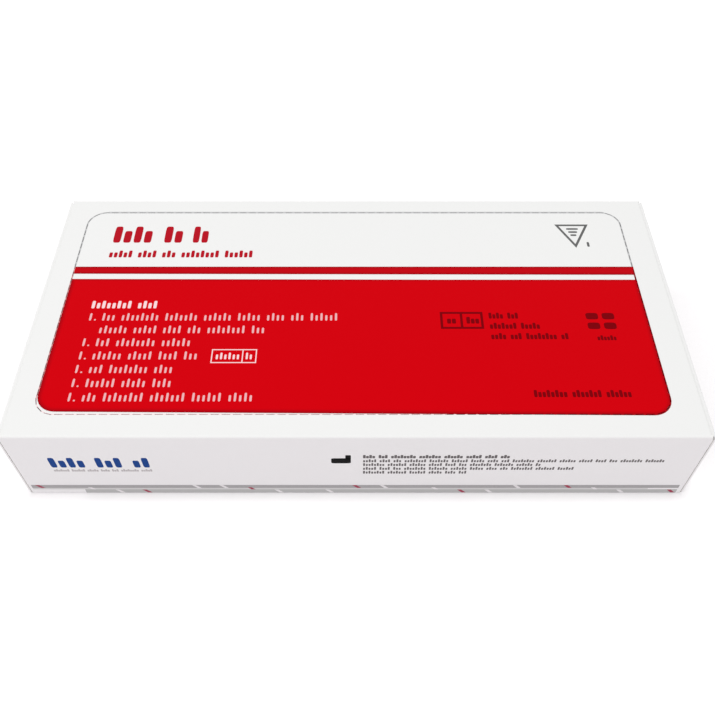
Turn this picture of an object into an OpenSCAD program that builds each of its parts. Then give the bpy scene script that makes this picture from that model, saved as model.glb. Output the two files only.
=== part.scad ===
// Folding carton of a rapid test kit, closed by a tuck flap at each end, with its contents.
// The origin is at the middle of the underside. X runs along the carton, Y from front to back.

/* [Carton] */
// Outside length, from one end flap's face to the other's
carton_l = 200; // [185:1:240]
// Outside depth, from the front wall to the back wall
carton_d = 97.6; // [85:0.2:130]
// Outside height
carton_h = 32; // [28:0.5:45]
// Thickness of the folded board
board_t = 0.5; // [0.35:0.05:0.6]
// Outside radius of the folds along the carton
fold_r = 0.7; // [0.65:0.05:1]
// Height of the glue flap inside the back wall
glue_flap_h = 12; // [8:0.5:18]
// Angle cut off the ends of the glue flap
glue_flap_taper = 30; // [10:1:50]
// Gap between the left end's outer face and the top panel's edge
slit_left = 1.7; // [1:0.1:3]
// Gap between the right end's outer face and the top panel's edge
slit_right = 1.8; // [1:0.1:3]

/* [Tear-out panel] */
// Distance from the left end to the perforation
tear_left = 8.55; // [5:0.05:20]
// Distance from the right end to the perforation
tear_right = 10.25; // [5:0.05:20]
// Distance from the front wall to the perforation
tear_front = 7.6; // [4:0.1:15]
// Distance from the back wall to the perforation
tear_back = 6.4; // [4:0.1:15]
// Corner radius of the perforation
tear_r = 6; // [3:0.5:15]
// Distance from one cut to the next
cut_pitch = 3.15; // [2.5:0.05:6]
// Board left standing between two cuts
nick_l = 0.8; // [0.5:0.1:1.2]
// Width of a cut
cut_w = 0.25; // [0.15:0.05:0.4]

/* [Tuck flaps] */
// Length of the lip tucked in under the top panel
lip_l = 14; // [9:0.5:20]
// Radius of the lip's two free corners
lip_corner_r = 8; // [3:0.5:8.5]
// How far the lip's sides stand back from the end panel's
lip_inset = 0.5; // [0.5:0.1:4]
// Clearance between the lip and the top panel
lip_gap = 0.15; // [0.1:0.05:0.4]
// Outside radius of the crease between end panel and lip
crease_r = 0.7; // [0.65:0.05:1.3]
// How far the end panel's sides stand back from the walls' outer faces
flap_side_gap = 0.3; // [0.3:0.1:1.5]
// Clearance between an end panel and the board that it closes on
flap_gap = 0.1; // [0.1:0.05:0.3]

/* [Dust flaps] */
// Length of a dust flap, from its wall's outer face
dust_l = 32; // [15:1:38]
// Radius of a dust flap's two free corners
dust_corner_r = 5; // [2:0.5:8]
// Slope of a dust flap's upper and lower edge
dust_taper = 7; // [0:0.5:12]
// Clearance above and below a dust flap
dust_gap = 0.4; // [0.3:0.1:1.5]
// Outside radius of the crease between a wall and its dust flap
dust_crease_r = 0.7; // [0.65:0.05:1]

/* [Print] */
// Depth of the red field at its left end, from front to back
field_d = 51; // [30:0.5:56]
// How much further to the front the field reaches at its right end
field_drop = 1.35; // [0:0.05:2]
// White margin between the perforation and the field's front left corner
front_margin = 0.95; // [0.5:0.05:2]
// White margin between the perforation and the field's left edge
left_margin = 0.2; // [0.2:0.05:1]
// How far the print runs over the perforation at the right
right_bleed = 0.25; // [0.25:0.05:0.6]
// Corner radius of the field at the front
field_r = 6; // [3:0.5:12]
// White line between the field and the stripe
line_w = 2.8; // [1:0.1:5]
// Width of the red stripe
stripe_w = 3; // [1:0.1:6]
// Thickness of the ink and its varnish
ink_t = 0.04; // [0.02:0.01:0.1]

/* [Contents] */
// Distance from one piece to the next and to the walls
content_gap = 4; // [2:0.5:6]
// Clearance between a piece and what it lies on
rest_gap = 0.1; // [0.05:0.05:0.3]
// Thickness of one leaf of the folded leaflet
leaf_t = 0.35; // [0.2:0.05:0.6]
// Space between the leaflet's two leaves
leaf_gap = 0.2; // [0.1:0.05:0.4]
// Thickness of the pouches' seals
seal_t = 0.3; // [0.2:0.05:0.5]
// Width of the foil pouch's seal
seal_w = 8; // [5:0.5:12]
// Height of the foil pouch
pouch_h = 7; // [4:0.5:10]
// Corner radius of the pouches
pouch_corner_r = 2.5; // [1:0.5:4]
// Width of the swab's wrapper
wrapper_w = 20; // [14:0.5:24]
// Length of the swab in its wrapper
swab_l = 152; // [130:1:156]
// Diameter of the bulge that the swab makes
swab_bulge_d = 5.5; // [4:0.5:7]
// Length of the extraction tube
tube_l = 62; // [50:1:64]
// Outside diameter of the extraction tube
tube_d = 12; // [10:0.5:13]
// Wall of the extraction tube
tube_wall = 0.8; // [0.6:0.1:1.2]
// Diameter of the extraction tube's rim
tube_rim_d = 14.5; // [13.5:0.5:15]
// Width of the extraction tube's rim
tube_rim_w = 1.5; // [1:0.1:3]
// Diameter of a buffer ampoule
ampoule_d = 9.5; // [8:0.5:11]
// Length of a buffer ampoule's body
ampoule_l = 30; // [24:1:34]
// Length of an ampoule's neck
ampoule_neck_l = 5; // [3:0.5:6]
// Diameter of an ampoule's neck
ampoule_neck_d = 4; // [3:0.5:5]
// Length of an ampoule's twist-off tab
ampoule_tab_l = 11; // [8:0.5:14]
// Thickness of an ampoule's twist-off tab
ampoule_tab_t = 1.4; // [1:0.1:2]

/* [Hidden] */
$fn = 64;
eps = 1;
board_color = [0.955, 0.955, 0.95];
red_color = [0.83, 0.01, 0.07];

// Planes of the carton
end_x = carton_l / 2;
side_y = carton_d / 2;
dust_x = end_x - board_t - flap_gap;
wall_end_x = dust_x - dust_crease_r;
inner_side_y = side_y - board_t;
inner_top_z = carton_h - board_t;
glue_face_y = inner_side_y - board_t;

// The lip is bent on a circle about the flap's hinge, so it slides out under the top panel
lip_outer_r = inner_top_z - lip_gap;
lip_inner_r = lip_outer_r - board_t;
lip_start = asin(crease_r / (lip_outer_r - crease_r));
lip_sweep = asin(lip_l / lip_inner_r);
crease_z = (lip_outer_r - crease_r) * cos(lip_start);
end_panel_y = side_y - flap_side_gap;
lip_y = end_panel_y - lip_inset;

dust_top_z = lip_inner_r - dust_gap;
dust_bottom_z = board_t + dust_gap;

// Perforation
tear_l = carton_l - tear_left - tear_right;
tear_d = carton_d - tear_front - tear_back;
tear_x = (tear_left - tear_right) / 2;
tear_y = (tear_front - tear_back) / 2;
tear_side_l = tear_l - 2 * tear_r;
tear_side_d = tear_d - 2 * tear_r;
tear_arc = PI / 2 * tear_r;
tear_path = 2 * tear_side_l + 2 * tear_side_d + 4 * tear_arc;
cut_count = round(tear_path / cut_pitch);
cut_l = tear_path / cut_count - nick_l;

// Print, set by the perforation
field_x0 = tear_x - tear_l / 2 + left_margin;
field_x1 = tear_x + tear_l / 2 + right_bleed;
field_y0 = tear_y - tear_d / 2 + front_margin;
field_y1 = field_y0 + field_d;
stripe_y0 = field_y1 + line_w;

// Places of the contents
inner_x = dust_x - board_t;
leaflet_h = 2 * leaf_t + leaf_gap;
floor_z = board_t + rest_gap;
leaflet_x = inner_x - content_gap;
leaflet_y0 = -inner_side_y + content_gap / 2;
leaflet_y1 = glue_face_y - content_gap / 2;
bed_z = floor_z + leaflet_h + rest_gap;
wrapper_y1 = leaflet_y1;
wrapper_y0 = wrapper_y1 - wrapper_w;
side_x1 = leaflet_x;
side_x0 = side_x1 - tube_l;
pouch_x0 = -leaflet_x;
pouch_x1 = side_x0 - content_gap;
pouch_y0 = leaflet_y0;
pouch_y1 = wrapper_y0 - content_gap / 2;
bulge_inset = seal_w + pouch_h;
tube_y = pouch_y0 + tube_rim_d / 2;
ampoule_step = ampoule_d + content_gap;
ampoule_y = tube_y + tube_rim_d / 2 + content_gap + ampoule_d / 2;

// Extrusions along X and along Y of an outline drawn upright
module along_x(x0, x1) translate([x0, 0, 0]) rotate([90, 0, 90]) linear_extrude(x1 - x0) children();
module along_y(y0, y1) translate([0, y1, 0]) rotate([90, 0, 0]) linear_extrude(y1 - y0) children();

// Rectangle from one corner to the opposite one
module span(x0, y0, x1, y1) translate([x0, y0]) square([x1 - x0, y1 - y0]);

// Sheet bent round a centre, from angle a0 to angle a1, by its outside radius
module bend(center, outer_r, a0, a1) {
    reach = 2 * outer_r;
    middle = (a0 + a1) / 2;
    translate(center) intersection() {
        difference() {
            circle(outer_r);
            circle(outer_r - board_t);
        }
        polygon([
            [0, 0], reach * [cos(a0), sin(a0)], reach * [cos(middle), sin(middle)],
            reach * [cos(a1), sin(a1)]
        ]);
    }
}

function unit(v) = v / norm(v);
function turn(a) = a > 180 ? a - 360 : a < -180 ? a + 360 : a;

// Corner at p between its neighbours, rounded to radius r by an arc of short edges
function corner(before, p, after, r, steps = 8) =
    r == 0 ? [p] :
    let (
        a = unit(before - p), b = unit(after - p), half = acos(a * b) / 2,
        c = p + unit(a + b) * r / sin(half),
        from = p + a * r / tan(half) - c, to = p + b * r / tan(half) - c,
        start = atan2(from.y, from.x), sweep = turn(atan2(to.y, to.x) - start)
    )
    [for (k = [0:steps]) c + r * [cos(start + sweep * k / steps), sin(start + sweep * k / steps)]];

// Outline through the points, each corner rounded to its own radius
function rounded(points, radii) =
    let (n = len(points))
    [for (i = [0:n - 1]) each corner(points[(i + n - 1) % n], points[i], points[(i + 1) % n], radii[i])];

// Place on the perforation at a distance s along it: side, place along that side, heading
function tear_side(s) =
    let (
        first = tear_side_l + tear_arc, second = first + tear_side_d + tear_arc,
        third = second + first
    )
    s < first ? [0, s] : s < second ? [1, s - first] : s < third ? [2, s - second] : [3, s - third];

// Perforation: a closed line of cuts right through the top panel
module perforation() {
    for (i = [0:cut_count - 1]) {
        place = tear_side((i + 0.5) * tear_path / cut_count);
        side = place[0];
        straight = side % 2 == 0 ? tear_side_l : tear_side_d;
        out = side % 2 == 0 ? tear_d / 2 : tear_l / 2;
        heading = max(0, place[1] - straight) / tear_arc * 90;
        x = min(place[1], straight) - straight / 2 + tear_r * sin(heading);
        y = tear_r * (1 - cos(heading)) - out;
        translate([tear_x, tear_y, carton_h - board_t / 2]) rotate(90 * side) translate([x, y, 0])
            rotate(heading) cube([cut_l, cut_w, 2 * board_t], center = true);
    }
}

// Front wall with its folds to the bottom and the top panel
module front_section() {
    bend([fold_r - side_y, fold_r], fold_r, 180, 270);
    span(-side_y, fold_r, -side_y + board_t, carton_h - fold_r);
    bend([fold_r - side_y, carton_h - fold_r], fold_r, 90, 180);
}

// Back wall, folded from the top panel and glued on the outside of the glue flap
module back_section() {
    bend([side_y - fold_r, carton_h - fold_r], fold_r, 0, 90);
    span(side_y - board_t, 0, side_y, carton_h - fold_r);
}

// Glue flap, folded up from the bottom panel
module glue_flap() {
    slope = glue_flap_h * tan(glue_flap_taper);
    along_x(-wall_end_x, wall_end_x) bend([inner_side_y - fold_r, fold_r], fold_r, 270, 360);
    along_y(glue_face_y, inner_side_y) polygon([
        [-wall_end_x, fold_r], [wall_end_x, fold_r],
        [wall_end_x - slope, fold_r + glue_flap_h], [slope - wall_end_x, fold_r + glue_flap_h]
    ]);
}

// Dust flap of the front wall at the right end, with its crease
module dust_flap() {
    rise = dust_l * tan(dust_taper);
    intersection() {
        translate([0, 0, dust_bottom_z]) linear_extrude(dust_top_z - dust_bottom_z) {
            bend([wall_end_x, dust_crease_r - side_y], dust_crease_r, 270, 360);
            span(dust_x - board_t, dust_crease_r - side_y, dust_x, dust_l - side_y);
        }
        along_x(wall_end_x, end_x) polygon(rounded([
            [-side_y, dust_bottom_z], [dust_l - side_y, dust_bottom_z + rise],
            [dust_l - side_y, dust_top_z - rise], [-side_y, dust_top_z]
        ], [0, dust_corner_r, dust_corner_r, 0]));
    }
}

module carton() color(board_color) {
    along_x(-dust_x, dust_x)
        span(fold_r - side_y, 0, inner_side_y - fold_r, board_t);
    along_x(-wall_end_x, wall_end_x) {
        front_section();
        back_section();
    }
    difference() {
        along_x(slit_left - end_x, end_x - slit_right)
            span(fold_r - side_y, carton_h - board_t, side_y - fold_r, carton_h);
        perforation();
    }
    glue_flap();
    for (flip_x = [0, 1], flip_y = [0, 1]) mirror([flip_x, 0, 0]) mirror([0, flip_y, 0]) dust_flap();
}

// Tuck flap of the right end: end panel, crease and bent lip
module tuck_flap() {
    hinge_x = end_x;
    along_y(-end_panel_y, end_panel_y) {
        span(hinge_x - board_t, board_t, hinge_x, crease_z);
        intersection() {
            translate([hinge_x - board_t, board_t]) circle(board_t);
            span(hinge_x - board_t, 0, hinge_x, board_t);
        }
        bend([hinge_x - crease_r, crease_z], crease_r, 0, 90 + lip_start);
    }
    intersection() {
        along_y(-lip_y, lip_y) bend([hinge_x, 0], lip_outer_r, 90 + lip_start, 90 + lip_sweep);
        linear_extrude(carton_h) polygon(rounded([
            [hinge_x, -lip_y], [hinge_x, lip_y], [hinge_x - lip_l, lip_y], [hinge_x - lip_l, -lip_y]
        ], [0, 0, lip_corner_r, lip_corner_r]));
    }
}

module right_tuck_flap() color(board_color) tuck_flap();

module left_tuck_flap() color(board_color) mirror([1, 0, 0]) tuck_flap();

// Red field with round front corners, and the stripe behind it, cut through by the perforation
module red_print() color(red_color) difference() {
    translate([0, 0, carton_h]) linear_extrude(ink_t) {
        polygon(rounded([
            [field_x0, field_y0], [field_x1, field_y0 - field_drop],
            [field_x1, field_y1], [field_x0, field_y1]
        ], [field_r, field_r, 0, 0]));
        span(field_x0, stripe_y0, field_x1, stripe_y0 + stripe_w);
    }
    perforation();
}

// Leaflet, folded once along its length, with the fold at the front
module leaflet() color([0.97, 0.97, 0.96]) along_x(-leaflet_x, leaflet_x) translate([0, floor_z]) {
    fold_y = leaflet_y0 + leaflet_h / 2;
    span(fold_y, 0, leaflet_y1, leaf_t);
    span(fold_y, leaf_t + leaf_gap, leaflet_y1, leaflet_h);
    difference() {
        translate([fold_y, leaflet_h / 2]) circle(leaflet_h / 2);
        translate([fold_y, leaflet_h / 2]) circle(leaf_gap / 2);
        span(fold_y, 0, fold_y + leaflet_h, leaflet_h);
    }
}

// Flat pouch seal with round corners
module seal(x0, y0, x1, y1) translate([0, 0, bed_z]) linear_extrude(seal_t) polygon(rounded([
    [x0, y0], [x1, y0], [x1, y1], [x0, y1]
], [pouch_corner_r, pouch_corner_r, pouch_corner_r, pouch_corner_r]));

// Foil pouch: a flat seal all round and foil drawn over the flat piece inside
module foil_pouch() color([0.75, 0.76, 0.78]) {
    seal(pouch_x0, pouch_y0, pouch_x1, pouch_y1);
    hull() {
        translate([0, 0, bed_z]) linear_extrude(seal_t)
            span(pouch_x0 + seal_w, pouch_y0 + seal_w, pouch_x1 - seal_w, pouch_y1 - seal_w);
        translate([0, 0, bed_z]) linear_extrude(pouch_h)
            span(pouch_x0 + bulge_inset, pouch_y0 + bulge_inset, pouch_x1 - bulge_inset, pouch_y1 - bulge_inset);
    }
}

// Swab's wrapper: a long flat seal with a round ridge over the swab
module swab_wrapper() color([0.93, 0.94, 0.95]) {
    middle_y = (wrapper_y0 + wrapper_y1) / 2;
    ridge_l = swab_l - swab_bulge_d;
    seal(-leaflet_x, wrapper_y0, leaflet_x, wrapper_y1);
    intersection() {
        translate([0, middle_y, bed_z]) {
            rotate([0, 90, 0]) cylinder(h = ridge_l, d = swab_bulge_d, center = true);
            for (end = [-1, 1]) translate([end * ridge_l / 2, 0, 0]) sphere(d = swab_bulge_d);
        }
        translate([-leaflet_x, wrapper_y0, bed_z]) cube([2 * leaflet_x, wrapper_w, swab_bulge_d]);
    }
}

// Extraction tube, lying down: round bottom at the right, open rim at the left
module extraction_tube() color([0.93, 0.95, 0.97]) {
    outer_r = tube_d / 2;
    inner_r = outer_r - tube_wall;
    translate([side_x0, tube_y, bed_z + tube_rim_d / 2]) rotate([0, 90, 0]) difference() {
        union() {
            cylinder(h = tube_rim_w, d = tube_rim_d);
            cylinder(h = tube_l - outer_r, r = outer_r);
            translate([0, 0, tube_l - outer_r]) sphere(outer_r);
        }
        translate([0, 0, -eps]) cylinder(h = tube_l - outer_r + eps, r = inner_r);
        translate([0, 0, tube_l - outer_r]) sphere(inner_r);
    }
}

// Buffer ampoule, lying down: round body, neck and flat twist-off tab, moulded in one
module ampoule(y) {
    body_r = ampoule_d / 2;
    tab_x = ampoule_l + ampoule_neck_l;
    translate([side_x0, y, bed_z + body_r]) rotate([0, 90, 0]) {
        translate([0, 0, body_r]) cylinder(h = ampoule_l - 2 * body_r, r = body_r);
        translate([0, 0, body_r]) sphere(body_r);
        translate([0, 0, ampoule_l - body_r]) sphere(body_r);
        translate([0, 0, ampoule_l - body_r]) cylinder(h = body_r + ampoule_neck_l, d = ampoule_neck_d);
        translate([-ampoule_tab_t / 2, -body_r, tab_x]) cube([ampoule_tab_t, ampoule_d, ampoule_tab_l]);
    }
}

module buffer_ampoule_a() color([0.85, 0.9, 0.95]) ampoule(ampoule_y);

module buffer_ampoule_b() color([0.95, 0.9, 0.82]) ampoule(ampoule_y + ampoule_step);

carton();
left_tuck_flap();
right_tuck_flap();
red_print();
leaflet();
foil_pouch();
swab_wrapper();
extraction_tube();
buffer_ampoule_a();
buffer_ampoule_b();
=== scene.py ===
"""Looks of a folding carton for a rapid test kit, and of the pieces inside it."""

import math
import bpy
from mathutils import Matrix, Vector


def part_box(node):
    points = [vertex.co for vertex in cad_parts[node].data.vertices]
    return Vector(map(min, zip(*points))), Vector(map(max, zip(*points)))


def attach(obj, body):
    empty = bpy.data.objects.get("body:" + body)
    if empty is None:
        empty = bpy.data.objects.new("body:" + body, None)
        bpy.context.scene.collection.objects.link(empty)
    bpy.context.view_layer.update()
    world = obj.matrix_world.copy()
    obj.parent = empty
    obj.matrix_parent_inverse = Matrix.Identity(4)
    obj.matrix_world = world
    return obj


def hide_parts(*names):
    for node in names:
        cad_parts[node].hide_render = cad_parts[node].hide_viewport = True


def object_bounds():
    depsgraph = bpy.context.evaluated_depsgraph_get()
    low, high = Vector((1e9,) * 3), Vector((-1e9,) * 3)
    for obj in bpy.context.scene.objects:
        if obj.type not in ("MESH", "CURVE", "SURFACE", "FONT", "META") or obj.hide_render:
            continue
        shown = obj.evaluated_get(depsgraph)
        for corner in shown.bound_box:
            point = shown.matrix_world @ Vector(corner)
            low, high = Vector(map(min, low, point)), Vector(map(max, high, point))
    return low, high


bl_info = {
    "name": "Test kit carton",
    "version": (1, 0, 0),
    "blender": (4, 5, 0),
    "location": "3D View > Sidebar > Carton",
    "description": "Dresses a folding carton with its board, print and contents",
    "category": "Object",
}

import bpy
import numpy as np
from mathutils import Euler

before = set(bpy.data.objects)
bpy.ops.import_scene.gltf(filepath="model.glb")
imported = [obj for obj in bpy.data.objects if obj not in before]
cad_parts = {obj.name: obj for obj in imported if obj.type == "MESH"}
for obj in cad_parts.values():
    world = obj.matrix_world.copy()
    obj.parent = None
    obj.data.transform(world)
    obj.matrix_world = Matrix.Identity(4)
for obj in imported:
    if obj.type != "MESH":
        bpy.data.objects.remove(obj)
CAD_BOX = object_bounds()

MM = 0.001

# Planes of the closed carton, from its solids
SHEET_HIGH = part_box("carton")[1]
INK_LOW, INK_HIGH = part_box("red_print")
END_X = CAD_BOX[1].x
SIDE_Y = SHEET_HIGH.y
TOP_Z = SHEET_HIGH.z
INK_Z = INK_HIGH.z
BOARD_T = 0.5 * MM
FOLD_R = 0.7 * MM
# Clear height between a closed lip and the top panel
LIP_GAP = 0.15 * MM
# Sides of the perforated panel, and the radius of its corners
TEAR = (-91.45 * MM, 89.75 * MM, -41.2 * MM, 42.4 * MM)
TEAR_R = 6.0 * MM
# Where the painted shade along the perforation, a grey line, gives way to the narrower one at each side
PERFORATION_SHADE_END = SHEET_HIGH.x - 14 * MM
# Corner radius of the red field, and how much further to the front its right corner lies
FIELD_R = 6.0 * MM
FIELD_DROP = 1.35 * MM
# Width of the stripe, and of the white line between it and the field
STRIPE_W = 3.0 * MM
LINE_W = 2.8 * MM
# Front edge of the stripe's solid and back edge of the field's
STRIPE_Y = INK_HIGH.y - STRIPE_W
FIELD_Y = STRIPE_Y - LINE_W
# How far the ink runs over those two edges, at the left end and at the right end
STRIPE_RUN = (0.13 * MM, 0.62 * MM)
FIELD_RUN = (0.34 * MM, -0.2 * MM)
# How much of the board's thickness, from the outside, the cut edges show as white
COAT_DEPTH = 0.97 * BOARD_T
# Studio: half the floor's side, the lamp's place and side, and the camera's place and sensor width in mm
FLOOR_HALF = 3.0
LAMP_PLACE = (-0.5, -0.45, 1.2)
LAMP_SIDE = 1.2
CAMERA_PLACE = (0.392 * MM, -169.855 * MM, 222.832 * MM)
SENSOR_WIDTH = 36.0


def srgb(red, green, blue):
    """Linear colour of an sRGB colour given in 0 to 255."""
    parts = np.array([red, green, blue]) / 255.0
    return tuple(np.where(parts <= 0.04045, parts / 12.92, ((parts + 0.055) / 1.055) ** 2.4))


def color_property(name, description, red, green, blue):
    return bpy.props.FloatVectorProperty(
        name=name, description=description, subtype="COLOR", size=3, min=0, max=1,
        default=srgb(red, green, blue),
    )


def number_property(name, description, default, least=0.0, **settings):
    settings.update(name=name, description=description, default=default, min=least)
    return bpy.props.FloatProperty(**settings)


def length_property(name, description, millimetres):
    return number_property(name, description, millimetres * MM, subtype="DISTANCE", unit="LENGTH")


class CartonBoard(bpy.types.PropertyGroup):
    """Coated folding boxboard."""

    coated: color_property("Coated side", "Colour of the white outside", 245, 245, 244)
    reverse: color_property("Reverse side", "Colour of the uncoated inside", 232, 230, 224)
    mottle: number_property("Mottle", "How much the white varies", 0.012, max=0.2, subtype="FACTOR")
    fibre: length_property("Fibre", "Size of the board's surface grain", 0.5)
    gloss: number_property("Roughness", "Roughness of the coated side", 0.42, max=1.0, subtype="FACTOR")
    # The next five settings paint the perforation's shade as grey lines on the board behind the stripe,
    # broader in the middle and narrower at each end
    guide: color_property("Guide line", "Line printed under the perforation at the back", 203, 203, 204)
    perforation_shade_width: length_property("Guide width", "Width of that line", 0.85)
    perforation_shade_shift: length_property("Guide shift", "How far that line lies outside the cuts", 0.09)
    side_perforation_shade: color_property("Side guide line", "Line under the perforation at the sides", 200, 200, 201)
    side_perforation_shade_width: length_property("Side guide width", "Width of that line", 0.6)


class CartonInk(bpy.types.PropertyGroup):
    """Inks of the print."""

    red: color_property("Red", "Large field", 215, 0, 13)
    stripe: color_property("Stripe red", "Stripe behind the field", 199, 6, 20)
    rim: color_property("Rim", "Darker edge of the field and of the stripe", 154, 5, 18)
    rim_width: length_property("Rim width", "Width over which the field gets darker at its edge", 1.7)
    # The three cut colours below colour the walls of the perforation's cuts: painted dark red shade inside
    # the field, a pink tint beside it and a paler pink tint in front of it
    cut: color_property("Cuts", "Cuts through the field", 146, 4, 18)
    cut_side: color_property("Side cuts", "Cuts close beside the field", 222, 150, 154)
    cut_pale: color_property("Pale cuts", "Cuts in front of the field", 252, 226, 228)
    title: color_property("Large marks", "Red marks on the white board", 188, 22, 38)
    knockout: color_property("Knocked out", "Board showing through the red field", 242, 184, 188)
    heading: color_property("Heading", "Heavier marks knocked out of the red field", 254, 222, 225)
    overprint: color_property("Overprint", "Black printed on the red field", 128, 2, 12)
    symbol: color_property("Triangle", "Triangle behind the stripe", 108, 108, 108)
    black: color_property("Black", "Heaviest mark on the front wall", 22, 22, 22)
    small: color_property("Small print", "Small marks on the front wall", 112, 108, 108)
    blue: color_property("Blue", "Blue marks on the front wall", 32, 72, 142)
    pale: color_property("Pale grey", "Line under the blue marks", 196, 192, 192)
    foot_dark: color_property("Foot line, upper", "Upper grey line at the foot", 176, 175, 175)
    foot_mid: color_property("Foot line, middle", "Paler line between the grey ones", 218, 219, 217)
    foot_light: color_property("Foot line, lower", "Lower grey line at the foot", 194, 195, 193)
    tick_red: color_property("Foot tick, red", "Slanted red ticks at the foot", 168, 72, 92)
    tick_white: color_property("Foot tick, white", "Slanted white ticks at the foot", 240, 238, 238)
    film: length_property("Film", "Height of the printed marks above the board", 0.02)


class CartonLayout(bpy.types.PropertyGroup):
    """Places of the print, on the top panel and the front wall."""

    row_left: length_property("Row margin", "Field's left edge to its rows", 8.25)
    row_indent: length_property("Indent", "A row's first block to its first group", 4.3)
    row_pitch: length_property("Row pitch", "Distance between two rows", 5.05)
    row_cap: length_property("Row height", "Height of a row's tall marks", 3.0)
    title_cap: length_property("Large height", "Height of the large red marks", 7.8)
    foot_upper: length_property("Foot lines", "Top of the upper grey line", 5.26)
    foot_mid: length_property("Foot gap top", "Top of the paler line", 3.47)
    foot_lower: length_property("Foot lower", "Top of the lower grey line", 2.62)
    tick_pitch: length_property("Tick pitch", "Mean distance between two ticks", 10.3)


class CartonContents(bpy.types.PropertyGroup):
    """Pieces inside the carton."""

    foil: color_property("Foil", "Colour of the foil pouch", 196, 199, 204)
    paper: color_property("Wrapper", "Colour of the swab's wrapper", 238, 240, 242)
    leaflet: color_property("Leaflet", "Colour of the leaflet's paper", 240, 240, 236)
    leaflet_ink: color_property("Leaflet ink", "Colour of the leaflet's lines", 70, 70, 74)
    plastic: color_property("Tube", "Colour of the extraction tube", 226, 232, 238)
    first_liquid: color_property("First buffer", "Colour of the first buffer", 206, 216, 238)
    second_liquid: color_property("Second buffer", "Colour of the second buffer", 240, 222, 190)
    crinkle: length_property("Crinkle", "Height of the foil's creases", 0.25)


class CartonStudio(bpy.types.PropertyGroup):
    """Floor, light and camera."""

    sky: number_property("Sky", "Light from all round", 0.8)
    lamp: number_property("Lamp", "Power of the large lamp overhead", 4.95, unit="POWER")
    floor: color_property("Floor", "Colour of the floor where a camera sees it", 232, 230, 231)
    floor_bounce: color_property("Floor bounce", "Colour of the light off the floor", 225, 216, 223)
    floor_lift: number_property("Floor lift", "White added to the floor where a camera sees it", 0.16)
    # Painted light: a glow on the floor a few millimetres outside the carton that whitens its shadow there
    floor_painted_glow: number_property("Floor clear", "More white, a few millimetres outside the carton", 0.24)
    camera_lens: number_property("Lens", "Focal length", 41.048, least=1.0, unit="CAMERA")
    camera_pitch: number_property(
        "Pitch", "How far the camera looks down", math.radians(52.024), subtype="ANGLE"
    )


SETTINGS = {
    "carton_board": CartonBoard,
    "carton_ink": CartonInk,
    "carton_layout": CartonLayout,
    "carton_contents": CartonContents,
    "carton_studio": CartonStudio,
}


def forward(operation):
    """A method that gives a Math node the signal first and the other value second."""
    return lambda self, other: self.calculate(operation, self, other)


def reflected(operation):
    """A method that gives a Math node the other value first, as 1 - mask needs."""
    return lambda self, other: self.calculate(operation, other, self)


class Signal:
    """A shader socket that arithmetic on it turns into Math nodes."""

    def __init__(self, nodes, socket):
        self.nodes = nodes
        self.socket = socket

    def calculate(self, operation, *values):
        return self.nodes.node("ShaderNodeMath", {"operation": operation}, dict(enumerate(values)))

    __add__, __radd__ = forward("ADD"), reflected("ADD")
    __sub__, __rsub__ = forward("SUBTRACT"), reflected("SUBTRACT")
    __mul__, __rmul__ = forward("MULTIPLY"), reflected("MULTIPLY")
    __truediv__, __rtruediv__ = forward("DIVIDE"), reflected("DIVIDE")
    __mod__, __rmod__ = forward("FLOORED_MODULO"), reflected("FLOORED_MODULO")
    __pow__, __rpow__ = forward("POWER"), reflected("POWER")
    # Each of these two is the other's reflected form
    __gt__, __lt__ = forward("GREATER_THAN"), forward("LESS_THAN")
    greatest, least = forward("MAXIMUM"), forward("MINIMUM")

    def __abs__(self):
        return self.calculate("ABSOLUTE", self)

    def clamped(self):
        return self.greatest(0).least(1)


class Nodes:
    """The node tree of a material or a world, emptied and then filled node by node."""

    def __init__(self, owner):
        owner.use_nodes = True
        self.tree = owner.node_tree
        self.tree.nodes.clear()

    def node(self, kind, settings, inputs, output=0):
        """Adds a node, sets it up, fills its sockets with values or links, and gives its output."""
        made = self.tree.nodes.new(kind)
        for setting, value in settings.items():
            setattr(made, setting, value)
        for key, value in inputs.items():
            self.fill(made.inputs[key], value)
        return Signal(self, made.outputs[output]) if len(made.outputs) else None

    def fill(self, socket, value):
        """Links a socket to a signal, or sets its value."""
        if isinstance(value, Signal):
            self.tree.links.new(value.socket, socket)
        elif socket.type == "RGBA" and len(value) == 3:
            socket.default_value = (*value, 1.0)
        else:
            socket.default_value = value

    def place(self):
        """Object coordinates as a vector, and as x, y and z."""
        vector = self.node("ShaderNodeTexCoord", {}, {}, "Object")
        split = self.node("ShaderNodeSeparateXYZ", {}, {"Vector": vector})
        axes = [Signal(self, split.socket.node.outputs[axis]) for axis in "XYZ"]
        return vector, axes

    def tint(self, factor, first, second):
        """Colour between first and second by factor."""
        mix = self.node(
            "ShaderNodeMix", {"data_type": "RGBA", "clamp_factor": True}, {0: factor, 6: first, 7: second}
        )
        return Signal(self, mix.socket.node.outputs[2])

    def backdrop_rays(self):
        """1 for a ray from the camera, off a mirror or through glass, and 0 for a ray that lights."""
        path = self.node("ShaderNodeLightPath", {}, {}, "Is Camera Ray")
        glossy, through = (
            Signal(self, path.socket.node.outputs[name]) for name in ("Is Glossy Ray", "Is Transmission Ray")
        )
        return path.greatest(glossy).greatest(through)


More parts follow.
